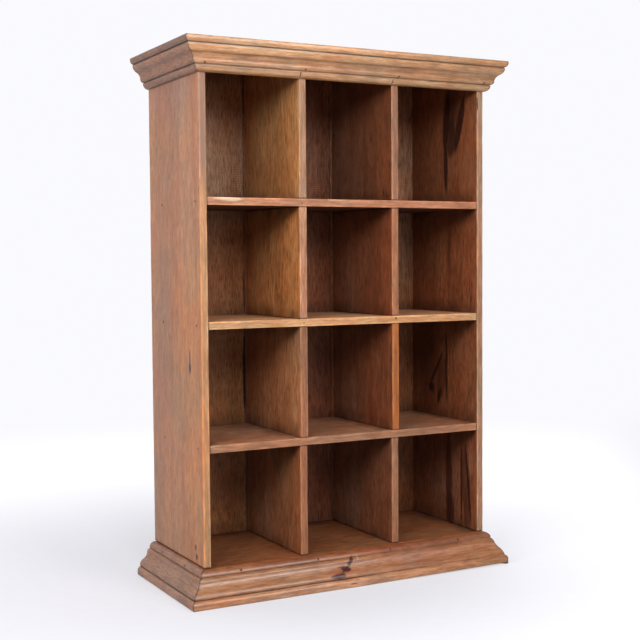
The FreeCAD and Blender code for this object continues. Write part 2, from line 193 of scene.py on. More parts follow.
# Dust, and painted light that pales the shaded back of a divider: in the bottom row, on a left one above
# it, and on a right one
LOW_DUST_AND_LIGHT_SHARE, LEFT_DUST_AND_LIGHT_SHARE, RIGHT_DUST_AND_LIGHT_SHARE = 0.45, 0.15, 0.32

# Iron of the nails
IRON_DETAIL = 4.0
IRON_SPAN, IRON_ROUGHNESS = (0.3, 0.7), (0.4, 0.75)
IRON_METALLIC_SHARE, IRON_BUMP_SHARE = 0.6, 0.4
IRON_DEPTH = 0.0003

# The main planes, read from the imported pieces
left, front, plinth_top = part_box("left_side")[0]
right, back, top_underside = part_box("right_side")[1]
inner_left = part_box("left_side")[1].x
inner_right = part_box("right_side")[0].x
rebate_left, shelf_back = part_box("left_back_board")[0].xy
rebate_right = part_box("right_back_board")[1].x
back_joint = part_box("left_back_board")[1].x
upper_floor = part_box("upper_shelf")[1].z
reach_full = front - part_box("cornice_front")[0].y
left_edge_middle = (left + inner_left) / 2
left_divider_middle = sum(corner.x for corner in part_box("top_row_left_divider")) / 2
front_edge_span = (front + ARRIS_EASE, front + 2 * ARRIS_EASE)

ROWS = ("bottom", "third", "second", "top")
SHELVES = ("lower", "middle", "upper")
HANDS = ("left", "right")

noise.seed_set(NOISE_SEED)


# Colours

CHART_WHITE = 255
CHART_GAMMA = 2.2


def tone(red, green, blue):
    """A colour given as on an eight-bit colour chart, in linear light."""
    return tuple((value / CHART_WHITE) ** CHART_GAMMA for value in (red, green, blue)) + (1.0,)


BLACK = tone(0, 0, 0)
# Soot, also used for the painted shade of corners, joints and quirks
SOOT_AND_SHADE = tone(30, 19, 15)
HEARTWOOD = tone(42, 21, 16)
KNOT = tone(60, 30, 26)
# Painted shade under a shelf
SHADED_UNDERSIDE = tone(66, 38, 27)
RUDDY = tone(118, 60, 38)
MAUVE = tone(136, 104, 92)
AMBER = tone(176, 104, 52)
# A chalky pale, also used for painted highlights
CHALK_AND_HIGHLIGHT = tone(206, 168, 142)
WEATHERED = tone(176, 144, 120)
# A dusty pale, also painted as light on the shaded back of a divider
DUST_AND_LIGHT = tone(156, 124, 106)
DARK_IRON = tone(58, 40, 33)
RUST = tone(98, 64, 45)
STUDIO_WHITE = tone(250, 250, 254)
STUDIO_GREY = tone(108, 108, 112)
FLOOR_SHADED = tone(176, 176, 181)
FLOOR_PALE = tone(182, 182, 187)

# Tones of the wood, roughly from pale to dark
PALE = tone(190, 147, 114)
ROSY = tone(172, 119, 94)
HONEY = tone(165, 125, 91)
SANDY = tone(152, 115, 85)
FAWN = tone(158, 114, 90)
OCHRE = tone(164, 119, 77)
GOLDEN = tone(166, 113, 70)
TAN = tone(152, 105, 74)
DUSTY = tone(142, 111, 90)
GREYED = tone(126, 94, 77)
ORANGE = tone(145, 90, 50)
OLIVE = tone(138, 95, 63)
FADED = tone(134, 93, 70)
BROWN = tone(135, 88, 60)
DUN = tone(122, 85, 64)
CHESTNUT = tone(126, 78, 54)
RUSSET = tone(116, 68, 46)
UMBER = tone(114, 71, 51)
SABLE = tone(102, 62, 42)

# The tone of each piece's faces, and of its front edge where that differs
Finish = namedtuple("Finish", "face edge", defaults=(None,))
FINISHES = {
    "left_side": Finish(TAN, SANDY),
    "right_side": Finish(CHESTNUT, DUSTY),
    "top_row_left_divider": Finish(OCHRE, DUSTY),
    "top_row_right_divider": Finish(SABLE, GREYED),
    "second_row_left_divider": Finish(GOLDEN, FAWN),
    "second_row_right_divider": Finish(RUSSET, FADED),
    "third_row_left_divider": Finish(TAN, DUN),
    "third_row_right_divider": Finish(RUSSET, ORANGE),
    "bottom_row_left_divider": Finish(BROWN, FADED),
    "bottom_row_right_divider": Finish(UMBER, FADED),
    "upper_shelf": Finish(ROSY, FAWN),
    "middle_shelf": Finish(PALE, HONEY),
    "lower_shelf": Finish(FAWN, FADED),
    "bottom_board": Finish(BROWN),
    "top_board": Finish(TAN),
    "left_back_board": Finish(OLIVE),
    "middle_back_board": Finish(UMBER),
    "right_back_board": Finish(BROWN),
    "cornice_front": Finish(HONEY),
    "cornice_left": Finish(GREYED),
    "cornice_right": Finish(DUSTY),
    "plinth_front": Finish(TAN),
    "plinth_left": Finish(GREYED),
    "plinth_right": Finish(TAN),
    "plinth_back_rail": Finish(DUSTY),
    "plinth_glue_blocks": Finish(TAN),
}
OUTER_RIGHT = TAN


# Marks in the wood: ellipsoids with a turn about each axis, at full strength inside a core.
# Stains are broad, with no clear edge, and the grain runs over them. The others lie over the grain

CRISP_CORE_SHARE, SOFT_CORE_SHARE = 0.6, 0.1
MARK_FIELDS = "centre radii turn strength colour core patchy"
Mark = namedtuple("Mark", MARK_FIELDS, defaults=(CRISP_CORE_SHARE, False))
LEVEL = (0.0, 0.0, 0.0)
THROUGH_DEPTH = 0.03
FACE_DEPTH = 0.006
EDGE_DEPTH = 0.003
PAINTED_HIGHLIGHT_STRENGTH = 0.75

# On a side: place along Y, height, half width, half height, strength, colour, and its lean in radians
MARKED_FACES = {"left_side": left, "right_side": inner_right}
SIDE_STAINS = {
    "left_side": [
        (0.085, 0.38, 0.060, 0.40, 0.45, MAUVE, 0.08),
        (0.020, 0.85, 0.160, 0.12, 0.90, MAUVE),
        (-0.045, 0.43, 0.070, 0.24, 0.80, GOLDEN),
        (-0.055, 0.17, 0.070, 0.20, 0.95, GOLDEN),
        (-0.040, 0.38, 0.012, 0.040, 0.35, MAUVE),
        (-0.010, 0.16, 0.011, 0.16, 0.40, RUDDY),
        (0.032, 0.34, 0.010, 0.30, 0.25, RUDDY, 0.03),
        (-0.078, 0.60, 0.008, 0.22, 0.25, RUDDY),
        (0.060, 0.66, 0.014, 0.20, 0.40, GOLDEN),
        (0.020, 0.64, 0.160, 0.26, 0.20, DUST_AND_LIGHT),
    ],
    "right_side": [
        (-0.020, 0.810, 0.036, 0.075, 0.75, HEARTWOOD),
        (0.018, 0.540, 0.016, 0.090, 0.50, BROWN),
        (-0.008, 0.560, 0.010, 0.080, 0.60, HEARTWOOD),
        (0.065, 0.345, 0.070, 0.130, 0.70, KNOT),
        (0.010, 0.150, 0.160, 0.130, 0.25, MAUVE),
    ],
}
SIDE_MARKS = {
    "left_side": [
        (-0.0467, 0.382, 0.005, 0.026, 0.60, HEARTWOOD),
        (-0.0467, 0.3735, 0.006, 0.010, 0.95, HEARTWOOD),
        (-0.0618, 0.0843, 0.004, 0.006, 0.95, HEARTWOOD),
        (-0.0664, 0.0703, 0.005, 0.006, 0.95, HEARTWOOD),
        (front + ARRIS_EASE, 0.30, 0.005, 0.42, 0.40, AMBER),
    ],
    "right_side": [
        (0.000, 0.800, 0.012, 0.070, 0.95, HEARTWOOD, 0.12),
        (-0.043, 0.790, 0.012, 0.064, 0.95, HEARTWOOD, 0.28),
        (-0.014, 0.765, 0.020, 0.042, 0.80, HEARTWOOD),
        (0.002, 0.715, 0.008, 0.058, 0.95, HEARTWOOD),
        (-0.065, 0.700, 0.030, 0.060, 0.30, BROWN),
        (0.017, 0.325, 0.019, 0.052, 0.60, HEARTWOOD, 0.15),
        (0.034, 0.342, 0.005, 0.048, 0.95, HEARTWOOD, 0.60),
        (0.001, 0.350, 0.005, 0.080, 0.95, HEARTWOOD),
        (0.050, 0.305, 0.012, 0.011, 0.95, SOOT_AND_SHADE),
        (0.025, 0.290, 0.006, 0.020, 0.95, HEARTWOOD, 0.30),
        (-0.006, 0.138, 0.012, 0.110, 0.85, KNOT),
        (-0.010, 0.080, 0.017, 0.040, 0.85, KNOT),
        (-0.047, 0.138, 0.004, 0.100, 0.90, HEARTWOOD),
        (-0.062, 0.125, 0.015, 0.100, 0.65, KNOT, -0.07),
        (-0.068, 0.140, 0.004, 0.095, 0.90, HEARTWOOD, -0.12),
    ],
}

# On the front edges and on the back: place along X, height, half width, half height, strength, colour
FRONT_MARKS = {
    # The top of the left side's front edge is painted greyer and darker: painted shade where the lamps
    # light it most
    "left_side": [(left_edge_middle, 0.80, 0.02, 0.16, 0.95, GREYED)],
    "right_side": [(inner_right + ARRIS_EASE, 0.819, 0.0018, 0.014, 0.90, SOOT_AND_SHADE)],
    "upper_shelf": [(-0.0897, 0.6395, 0.0016, 0.0016, 0.90, SOOT_AND_SHADE)],
    "middle_shelf": [
        (-0.0929, 0.4503, 0.010, 0.0022, 0.90, SOOT_AND_SHADE),
        (-0.0885, 0.4431, 0.0016, 0.0016, 0.90, SOOT_AND_SHADE),
        (0.0889, 0.4450, 0.0025, 0.003, 0.90, SOOT_AND_SHADE),
    ],
}
# Pale patches painted on upper front edges where the lamps give a highlight: painted highlights
PAINTED_HIGHLIGHTS = {
    "top_row_left_divider": [(left_divider_middle, 0.755, 0.012, 0.120, PAINTED_HIGHLIGHT_STRENGTH, CHALK_AND_HIGHLIGHT)],
    "upper_shelf": [(-0.2200, 0.6440, 0.030, 0.004, PAINTED_HIGHLIGHT_STRENGTH, CHALK_AND_HIGHLIGHT)],
}
BACK_STAINS = {
    "left_back_board": [
        (inner_left, 0.710, 0.240, 0.215, 0.90, WEATHERED),
        (inner_left, 0.340, 0.240, 0.160, 0.55, ORANGE),
    ],
    "middle_back_board": [
        (0.0, 0.720, 0.150, 0.120, 0.20, WEATHERED),
        (0.0, 0.540, 0.150, 0.110, 0.60, BROWN),
    ],
    "right_back_board": [(inner_right, 0.660, 0.240, 0.220, 0.50, WEATHERED)],
}
# Painted shadow in the gaps at the joint between the back boards
BACK_GAP_SHADOWS = {
    "left_back_board": [
        (back_joint, 0.345, 2 * EDGE_DEPTH, 0.095, 1.0, SOOT_AND_SHADE),
        (back_joint, 0.490, EDGE_DEPTH, 0.045, 0.90, SOOT_AND_SHADE),
    ],
}

# In the front mouldings: place along X, height, half width, half height, strength, colour, and its lean
MOULDING_STAINS = {
    "cornice_front": [
        # The cornice's nose is painted paler along its length: a painted highlight
        (0.000, cad_box[1].z, 0.600, 0.016, 0.90, PALE),
        (0.000, 0.860, 0.600, 0.012, 0.60, TAN),
    ],
    "plinth_front": [
        (-0.210, 0.025, 0.200, 0.040, 0.30, GOLDEN),
        (0.000, 0.033, 0.600, 0.011, 0.75, DUST_AND_LIGHT),
        (0.130, 0.035, 0.170, 0.040, 0.35, RUDDY),
        (0.100, 0.028, 0.022, 0.018, 0.50, MAUVE),
        (0.178, 0.034, 0.012, 0.014, 0.40, MAUVE),
        (0.212, 0.014, 0.020, 0.010, 0.40, MAUVE),
        (0.000, 0.000, 0.600, 0.026, 0.65, CHALK_AND_HIGHLIGHT),
        (0.000, plinth_top, 0.600, 0.014, 0.90, RUDDY),
        (-0.030, 0.026, 0.030, 0.020, 0.50, RUDDY),
    ],
}
MOULDING_MARKS = {
    "cornice_front": [
        (-0.0947, 0.8456, 0.0012, 0.006, 0.95, SOOT_AND_SHADE),
        (0.0791, 0.8436, 0.0012, 0.006, 0.95, SOOT_AND_SHADE),
    ],
    "plinth_front": [
        (-0.0385, 0.0208, 0.017, 0.0055, 0.95, KNOT, -0.05),
        (-0.0470, 0.0222, 0.012, 0.0026, 0.95, KNOT, -0.10),
        (-0.0225, 0.0300, 0.011, 0.0052, 0.95, KNOT, 0.10),
        (-0.0310, 0.0335, 0.008, 0.0020, 0.60, KNOT, -0.20),
        (-0.0105, 0.0410, 0.0042, 0.011, 0.95, KNOT, 0.62),
        (-0.0170, 0.0350, 0.0022, 0.010, 0.70, KNOT, 0.80),
        (-0.0305, 0.0255, 0.0022, 0.010, 0.60, KNOT, 0.95),
        (-0.0150, 0.0385, 0.0060, 0.0022, 0.60, KNOT, 0.30),
        (-0.0145, 0.0065, 0.012, 0.0014, 0.95, KNOT),
        (0.0038, 0.0445, 0.003, 0.004, 0.40, CHALK_AND_HIGHLIGHT),
    ],
}


def side_mark(face, along, up, width, length, strength, colour, lean=0.0):
    """A mark on an upright face that looks sideways. It leans with its top towards the front."""
    return Mark((face, along, up), (FACE_DEPTH, width, length), (lean, 0.0, 0.0), strength, colour)


def front_mark(across, up, width, length, strength, colour):
    """A mark on a front edge."""
    return Mark((across, front, up), (width, EDGE_DEPTH, length), LEVEL, strength, colour)


def back_mark(across, up, width, length, strength, colour):
    """A mark on the inside of the back."""
    return Mark((across, shelf_back, up), (width, FACE_DEPTH, length), LEVEL, strength, colour)


def moulding_mark(across, up, width, length, strength, colour, lean=0.0):
    """A mark that goes right through a moulding at the front. It leans with its top to the right."""
    centre = (across, front - reach_full / 2, up)
    return Mark(centre, (width, THROUGH_DEPTH, length), (0.0, lean, 0.0), strength, colour)


def stains_of(node):
    """The stains of a piece."""
    stains = [side_mark(MARKED_FACES[node], *row) for row in SIDE_STAINS.get(node, ())]
    stains += [back_mark(*row) for row in BACK_STAINS.get(node, ())]
    stains += [moulding_mark(*row) for row in MOULDING_STAINS.get(node, ())]
    return [stain._replace(core=SOFT_CORE_SHARE) for stain in stains]


def marks_of(node):
    """The knots, heartwood, cracks, painted shadows, painted shade and painted highlights of a piece. A
    painted highlight is patchy.
    """
    marks = [side_mark(MARKED_FACES[node], *row) for row in SIDE_MARKS.get(node, ())]
    marks += [front_mark(*row) for row in FRONT_MARKS.get(node, ())]
    marks += [front_mark(*row)._replace(patchy=True) for row in PAINTED_HIGHLIGHTS.get(node, ())]
    marks += [back_mark(*row) for row in BACK_GAP_SHADOWS.get(node, ())]
    marks += [moulding_mark(*row) for row in MOULDING_MARKS.get(node, ())]
    return marks


# Materials

# Sockets of a colour Mix node
MIX_SHARE, MIX_FIRST, MIX_SECOND, MIX_RESULT = 0, 6, 7, 2


class Graph:
    """The node tree of one material, with a short call for each kind of node."""

    def __init__(self, owner):
        self.tree = owner.node_tree

    def feed(self, socket, value):
        """Link a socket to another node's output, or set its value."""
        if isinstance(value, bpy.types.NodeSocket):
            self.tree.links.new(value, socket)
        else:
            socket.default_value = value

    def node(self, kind, output, inputs, **settings):
        made = self.tree.nodes.new(f"ShaderNode{kind}")
        for name, value in settings.items():
            setattr(made, name, value)
        for name, value in inputs.items():
            self.feed(made.inputs[name], value)
        return made.outputs[output]

    def noise(self, vector, scale, detail, output="Fac"):
        inputs = {"Vector": vector, "Scale": scale, "Detail": detail, "Roughness": NOISE_ROUGHNESS}
        return self.node("TexNoise", output, inputs)

    def math(self, operation, first, second=0.0):
        return self.node("Math", "Value", {0: first, 1: second}, operation=operation)

    def vector(self, operation, *values, output="Vector"):
        return self.node("VectorMath", output, dict(enumerate(values)), operation=operation)

    def ease(self, value, span, result=RISE):
        """A smooth step between two results while a value goes from one end of a span to the other."""
        inputs = {"Value": value, "From Min": span[0], "From Max": span[1],
                  "To Min": result[0], "To Max": result[1]}
        return self.node("MapRange", "Result", inputs, interpolation_type="SMOOTHSTEP")

    def mix(self, share, first, second, **settings):
        inputs = {MIX_SHARE: share, MIX_FIRST: first, MIX_SECOND: second}
        return self.node("Mix", MIX_RESULT, inputs, data_type="RGBA", **settings)

    def times(self, first, second):
        return self.mix(1.0, first, second, blend_type="MULTIPLY")

    def distance(self, first, second):
        return self.math("ABSOLUTE", self.math("SUBTRACT", first, second))

    def attribute(self, name):
        return self.node("Attribute", "Fac", {}, attribute_name=name)

    def bump(self, height, strength, depth):
        return self.node("Bump", "Normal", {"Height": height, "Strength": strength, "Distance": depth})


def new_material(name):
    material = bpy.data.materials.new(name)
    material.use_nodes = True
    return material, Graph(material), material.node_tree.nodes["Principled BSDF"]


# What the noise of one board gives: shares for its tone, streaks, open pores, patches and a wandering place
Pattern = namedtuple("Pattern", "variation streaks open_pores patches wandering")


def wood_pattern(graph, place, axis, seed, pore_strength):
    """All the noise of one board, with its grain along one axis."""
    shift = Vector(SEED_SHIFT) * seed

    def along_grain(grain):
        scale = Vector((grain.per_metre,) * 3)
        scale[axis] *= grain.along_share
        drawn = graph.node("Mapping", "Vector", {"Vector": place, "Location": shift, "Scale": scale})
        return graph.noise(drawn, 1.0, grain.detail)

    streaks = along_grain(STREAKS)
    open_pores = graph.ease(along_grain(PORES), PORE_SPAN, (0.0, pore_strength))
    variation = graph.mix(open_pores, *PORE_SHARES)
    for feature, shares in (
            (along_grain(BANDS), BAND_SHARES),
            (along_grain(FIGURE), FIGURE_SHARES),
            (along_grain(BLOTCHES), BLOTCH_SHARES),
            (streaks, STREAK_SHARES)):
        variation = graph.times(variation, graph.mix(graph.ease(feature, FEATURE_SPAN), *shares))
    patches = graph.noise(graph.vector("ADD", place, shift), PATCHES_PER_METRE, PATCH_DETAIL)
    drift = graph.noise(place, WANDERS_PER_METRE, WANDER_DETAIL, "Color")
    spread = graph.vector("SUBTRACT", drift, NOISE_MIDDLE)
    wandering = graph.vector("MULTIPLY_ADD", spread, (WANDER_REACH,) * 3, place)
    return Pattern(variation, streaks, open_pores, patches, wandering)


def rear_dust_and_light_share(node):
    if node.startswith("bottom_row"):
        return LOW_DUST_AND_LIGHT_SHARE
    return LEFT_DUST_AND_LIGHT_SHARE if node.endswith("left_divider") else RIGHT_DUST_AND_LIGHT_SHARE


def ground_tone(graph, parts, node):
    """The tone of a piece before its grain: its faces, its front edge, the outside of a side, the painted
    shade under a shelf, and dust with painted light towards the back of a divider.
    """
    ground, edge_tone = FINISHES[node]
    if node.endswith("shelf"):
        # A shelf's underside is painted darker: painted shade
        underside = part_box(node)[0].z
        beneath = graph.ease(parts["Z"], (underside + ARRIS_EASE, underside + 2 * ARRIS_EASE), FALL)
        ground = graph.mix(beneath, ground, SHADED_UNDERSIDE)
    if node == "right_side":
        outside = graph.ease(parts["X"], (right - WEAR_BAND, right - ARRIS_EASE))
        ground = graph.mix(outside, ground, OUTER_RIGHT)
    # A divider is painted paler towards the back: dust, and painted light in its shade
    if node.endswith("divider"):
        dust_and_shading = graph.ease(parts["Y"], (front + DIRT_AND_SHADE_REACH, shelf_back), (0.0, rear_dust_and_light_share(node)))
        ground = graph.mix(dust_and_shading, ground, DUST_AND_LIGHT)
    if edge_tone:
        ground = graph.mix(graph.ease(parts["Y"], front_edge_span, FALL), ground, edge_tone)
    return ground


def marked(graph, pattern, colour, marks):
    """A colour with some marks laid over it, whose outlines wander."""
    for mark in marks:
        shape = {"Vector": pattern.wandering, "Location": mark.centre,
                 "Rotation": mark.turn, "Scale": mark.radii}
        inside = graph.node("Mapping", "Vector", shape, vector_type="TEXTURE")
        away = graph.vector("LENGTH", inside, output="Value")
        cover = graph.ease(away, (1.0, mark.core), (0.0, mark.strength))
        if mark.patchy:
            cover = graph.math("MULTIPLY", cover, graph.ease(pattern.patches, PAINTED_HIGHLIGHT_SPAN))
        cover = graph.math("MULTIPLY", cover, graph.ease(pattern.streaks, MARK_SPAN, MARK_SHARES))
        colour = graph.mix(cover, colour, mark.colour)
    return colour


def saw_cuts(graph, parts, patches):
    """Shares of faint level lines that a saw has left in patches of the back, behind the top row."""
    wave = graph.math("SINE", graph.math("MULTIPLY", parts["Z"], 2 * math.pi * SAW_CUTS_PER_METRE))
    lines = graph.mix(graph.ease(wave, SAW_WAVE_SPAN), *SAW_SHARES)
    above = graph.ease(parts["Z"], (upper_floor - ARRIS_EASE, upper_floor))
    fading = graph.ease(parts["Z"], (upper_floor, top_underside), FALL)
    cover = graph.math("MULTIPLY", graph.ease(patches, SAW_SPAN), graph.math("MULTIPLY", above, fading))
    return graph.mix(cover, UNCHANGED_SHARES, lines)


def corner_dirt_and_shade(graph, parts, joints, inner):
    """Painted shade beside the joints, with dust and wax, from one to zero further out. Inner is the face
    that takes it.
    """
    dirt_and_shade = 0.0
    for axis, value in joints:
        beside = graph.ease(graph.distance(parts[axis], value), (0.0, DIRT_AND_SHADE_REACH), FALL)
        dirt_and_shade = graph.math("MAXIMUM", dirt_and_shade, beside)
    dirt_and_shade = graph.math("MULTIPLY", dirt_and_shade, graph.ease(parts["Y"], (front, front + DIRT_AND_SHADE_REACH / 2)))
    if inner:
        axis, value = inner
        on_face = graph.ease(graph.distance(parts[axis], value), (ARRIS_EASE, WEAR_BAND), FALL)
        dirt_and_shade = graph.math("MULTIPLY", dirt_and_shade, on_face)
    return dirt_and_shade


def used_and_shaded(graph, pattern, colour, dirt_and_shade):
    """A colour with lighter, worn arrises, moulding parts painted lighter or darker, corners darkened by
    painted shade and dust, and grime and painted shade in the joints and quirks.
    """
    patches = pattern.patches
    wear_and_shading = graph.math("MULTIPLY", graph.attribute("wear_and_shading"), graph.ease(patches, WEAR_AND_SHADING_SPAN, WEAR_AND_SHADING_SHARES))
    colour = graph.times(colour, graph.math("ADD", wear_and_shading, 1.0))
    dust_and_shading = graph.math("MULTIPLY", dirt_and_shade, graph.ease(patches, DIRT_AND_SHADE_SPAN, DUST_AND_SHADE_SHARES))
    grime_and_shade = graph.math("MULTIPLY", graph.attribute("grime_and_shade"), graph.ease(patches, DIRT_AND_SHADE_SPAN, GRIME_AND_SHADE_SHARES))
    return graph.mix(graph.math("MAXIMUM", dust_and_shading, grime_and_shade), colour, SOOT_AND_SHADE)


def polished(graph, shader, pattern, polish):
    """Gloss and relief: streaks roughen the wood and lift it a little, and open pores sink into it."""
    roughness = graph.ease(pattern.streaks, POLISH_SPAN, (polish.smooth, polish.open))
    graph.feed(shader.inputs["Roughness"], roughness)
    shader.inputs["Specular IOR Level"].default_value = polish.specular
    shader.inputs["Coat Weight"].default_value = polish.coat
    shader.inputs["Coat Roughness"].default_value = COAT_ROUGHNESS
    sunk = graph.math("MULTIPLY", pattern.open_pores, PORE_DEPTH_SHARE)
    height = graph.math("SUBTRACT", pattern.streaks, sunk)
    graph.feed(shader.inputs["Normal"], graph.bump(height, GRAIN_BUMP_SHARE, GRAIN_DEPTH))
    graph.feed(shader.inputs["Coat Normal"], graph.bump(height, COAT_BUMP_SHARE, GRAIN_DEPTH))


def wood(node, axis, seed, polish, joints=(), inner=None):
    """Oiled hardwood with its grain along one axis, its own marks, corners darkened by painted shade and
    dust, and worn arrises.
    """
    material, graph, shader = new_material(f"{node}_wood")
    place = graph.node("TexCoord", "Object", {})
    parts = graph.node("SeparateXYZ", "X", {"Vector": place}).node.outputs
    pores = polish.pores
    if FINISHES[node].edge:
        pores = graph.ease(parts["Y"], front_edge_span, (polish.pores * EDGE_PORE_SHARE, polish.pores))
    pattern = wood_pattern(graph, place, axis, seed, pores)

    ground = marked(graph, pattern, ground_tone(graph, parts, node), stains_of(node))
    colour = graph.times(ground, pattern.variation)
    if node.endswith("back_board"):
        colour = graph.times(colour, saw_cuts(graph, parts, pattern.patches))
    colour = marked(graph, pattern, colour, marks_of(node))
    colour = used_and_shaded(graph, pattern, colour, corner_dirt_and_shade(graph, parts, joints, inner))
    graph.feed(shader.inputs["Base Color"], colour)
    polished(graph, shader, pattern, polish)
    if node == "plinth_front":
        fading = graph.ease(parts["X"], (left / 2, right), (polish.coat, polish.coat * DULL_END_SHARE))
        graph.feed(shader.inputs["Coat Weight"], fading)
    return material


def iron(name):
    """Rusty iron, hammered and rubbed with the wood's own wax."""
    material, graph, shader = new_material(name)
    place = graph.node("TexCoord", "Object", {})
    patches = graph.noise(place, PORES.per_metre, IRON_DETAIL)
    graph.feed(shader.inputs["Base Color"], graph.mix(patches, DARK_IRON, RUST))
    graph.feed(shader.inputs["Roughness"], graph.ease(patches, IRON_SPAN, IRON_ROUGHNESS))
    shader.inputs["Metallic"].default_value = IRON_METALLIC_SHARE
    graph.feed(shader.inputs["Normal"], graph.bump(patches, IRON_BUMP_SHARE, IRON_DEPTH))
    return material


# Shapes

class Shape:
    """Points and faces of one piece, with each point's wear and painted shading, and its grime and painted
    shade.
    """

    def __init__(self):
        self.points = []
        self.faces = []
        self.wear_and_shading = []
        self.grime_and_shade = []

    def loft(self, rings):
        """Join rings of (point, wear and shading, grime and shade) by faces of four corners, and close both
        ends.
        """
        first = len(self.points)
        count = len(rings[0])
        for ring in rings:
            for point, wear_and_shading, grime_and_shade in ring:
                self.points.append(point)
                self.wear_and_shading.append(wear_and_shading)
                self.grime_and_shade.append(grime_and_shade)
        for low in range(first, first + count * (len(rings) - 1), count):
            for number in range(count):
                after = (number + 1) % count
                self.faces.append((low + number, low + after, low + count + after, low + count + number))
        self.faces.append(tuple(range(first, first + count)))
        self.faces.append(tuple(range(len(self.points) - count, len(self.points))))

    def tree(self):
        return BVHTree.FromPolygons(self.points, self.faces)


def make(node, shape, material, smooth_degrees):
    """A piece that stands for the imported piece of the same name."""
    mesh = bpy.data.meshes.new(f"{node}_look")
    mesh.from_pydata(shape.points, [], shape.faces)
    for layer, values in (("wear_and_shading", shape.wear_and_shading), ("grime_and_shade", shape.grime_and_shade)):
        mesh.attributes.new(layer, "FLOAT", "POINT").data.foreach_set("value", values)
    work = bmesh.new()
    work.from_mesh(mesh)
    bmesh.ops.recalc_face_normals(work, faces=work.faces)
    work.to_mesh(mesh)
    work.free()
    mesh.shade_smooth()
    mesh.set_sharp_from_angle(angle=math.radians(smooth_degrees))
    mesh.materials.append(material)
    piece = bpy.data.objects.new(f"{node}_look", mesh)
    bpy.context.scene.collection.objects.link(piece)
    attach(piece, "root")
    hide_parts(node)


def wobble(point, seed, amount):
    """A point moved a little, as hand tools leave a surface."""
    return point + noise.noise_vector(point * WOBBLES_PER_METRE + Vector(SEED_SHIFT) * seed) * amount


def spaced(start, end, step):
    """Places between a start and an end, both left out, about a step apart."""
    count = max(2, round((end - start) / step))
    return [start + (end - start) * number / count for number in range(1, count)]


# Boards of the carcass

def inset(corners, depth):
    """A section with square corners, drawn in by a depth. Its corners run anticlockwise."""
    moved = []
    for before, corner, after in zip(corners[-1:] + corners[:-1], corners, corners[1:] + corners[:1]):
        into = (corner - before).normalized().orthogonal() + (after - corner).normalized().orthogonal()
        moved.append(corner + into * depth)
    return moved


def rounded(corners, radius, arris_wear_and_shading):
    """A section with its arrises eased, as (point, wear and shading)."""
    ring = []
    for before, corner, after in zip(corners[-1:] + corners[:-1], corners, corners[1:] + corners[:1]):
        to_before = (before - corner).normalized()
        to_after = (after - corner).normalized()
        band_before = min(WEAR_BAND, (before - corner).length * BAND_LIMIT_SHARE)
        band_after = min(WEAR_BAND, (after - corner).length * BAND_LIMIT_SHARE)
        ring.append((corner + to_before * band_before, 0.0))
        ring.append((corner + to_before * radius, arris_wear_and_shading))
        ring.append((corner + (to_before + to_after) * radius * ROUND_MIDDLE_SHARE, arris_wear_and_shading))
        ring.append((corner + to_after * radius, arris_wear_and_shading))
        ring.append((corner + to_after * band_after, 0.0))
    return ring


def dented(point, centre, seed):
    """A point of an arris, knocked in towards the middle of its section here and there."""
    knock = noise.noise(point * DENTS_PER_METRE + Vector(SEED_SHIFT) * seed)
    depth = DENT_DEPTH * max(0.0, knock - DENT_START_SHARE)
    return point + (centre - point).normalized() * depth


def board(shape, axis, corners, start, end, seed, arris_wear_and_shading=1.0):
    """A board along one axis with the section of those corners, eased all round.

    Arris wear below zero paints the arrises dark, as painted shade in the joints, and leaves them undented.
    """
    body = rounded(corners, ARRIS_EASE, arris_wear_and_shading)
    face = rounded(inset(corners, ARRIS_EASE), ARRIS_EASE / 2, arris_wear_and_shading)
    inner_start, inner_end = start + GRIME_AND_SHADE_REACH, end - GRIME_AND_SHADE_REACH
    stations = [(start, face, 1.0), (start + ARRIS_EASE, body, ARRIS_GRIME_AND_SHADE_SHARE), (inner_start, body, 0.0)]
    stations += [(along, body, 0.0) for along in spaced(inner_start, inner_end, BOARD_STEP)]
    stations += [(inner_end, body, 0.0), (end - ARRIS_EASE, body, ARRIS_GRIME_AND_SHADE_SHARE), (end, face, 1.0)]

    def placed(at, along):
        point = Vector((0.0, 0.0, 0.0))
        point[axis] = along
        point[(axis + 1) % 3] = at.x
        point[(axis + 2) % 3] = at.y
        return point

    section_middle = sum(corners, Vector((0.0, 0.0))) / len(corners)
    rings = []
    for along, section, grime_and_shade in stations:
        ring = []
        for at, wear_and_shading in section:
            point = placed(at, along)
            if wear_and_shading > 0:
                point = dented(point, placed(section_middle, along), seed)
            ring.append((wobble(point, seed, BOARD_WOBBLE), wear_and_shading, max(grime_and_shade, -wear_and_shading)))
        rings.append(ring)
    shape.loft(rings)


def rectangle(axis, low, high):
    """The four corners of a plain board's section across one axis."""
    across, up = (axis + 1) % 3, (axis + 2) % 3
    return [Vector((low[across], low[up])), Vector((high[across], low[up])),
            Vector((high[across], high[up])), Vector((low[across], high[up]))]


def plain_board(node, axis, seed, joints=(), inner=None, box=None, foot_gap=0.0, arris_wear_and_shading=1.0):
    """A board with four square corners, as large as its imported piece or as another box."""
    low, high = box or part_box(node)
    shape = Shape()
    board(shape, axis, rectangle(axis, low, high), low[axis] + foot_gap, high[axis], seed, arris_wear_and_shading)
    make(node, shape, wood(node, axis, seed, DRY, joints, inner), BOARD_SMOOTH)


def side_board(node, corners, seed, polish, inner):
    """A side, rebated along its rear inner edge."""
    shape = Shape()
    section = [Vector(corner) for corner in corners]
    board(shape, Z, section, plinth_top + FOOT_GAP, top_underside, seed)
    make(node, shape, wood(node, Z, seed, polish, levels, inner), BOARD_SMOOTH)


levels = [("Z", plinth_top), ("Z", top_underside)]
for shelf in SHELVES:
    levels += [("Z", corner.z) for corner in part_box(f"{shelf}_shelf")]
inner_faces = [("X", inner_left), ("X", inner_right), ("Y", shelf_back)]

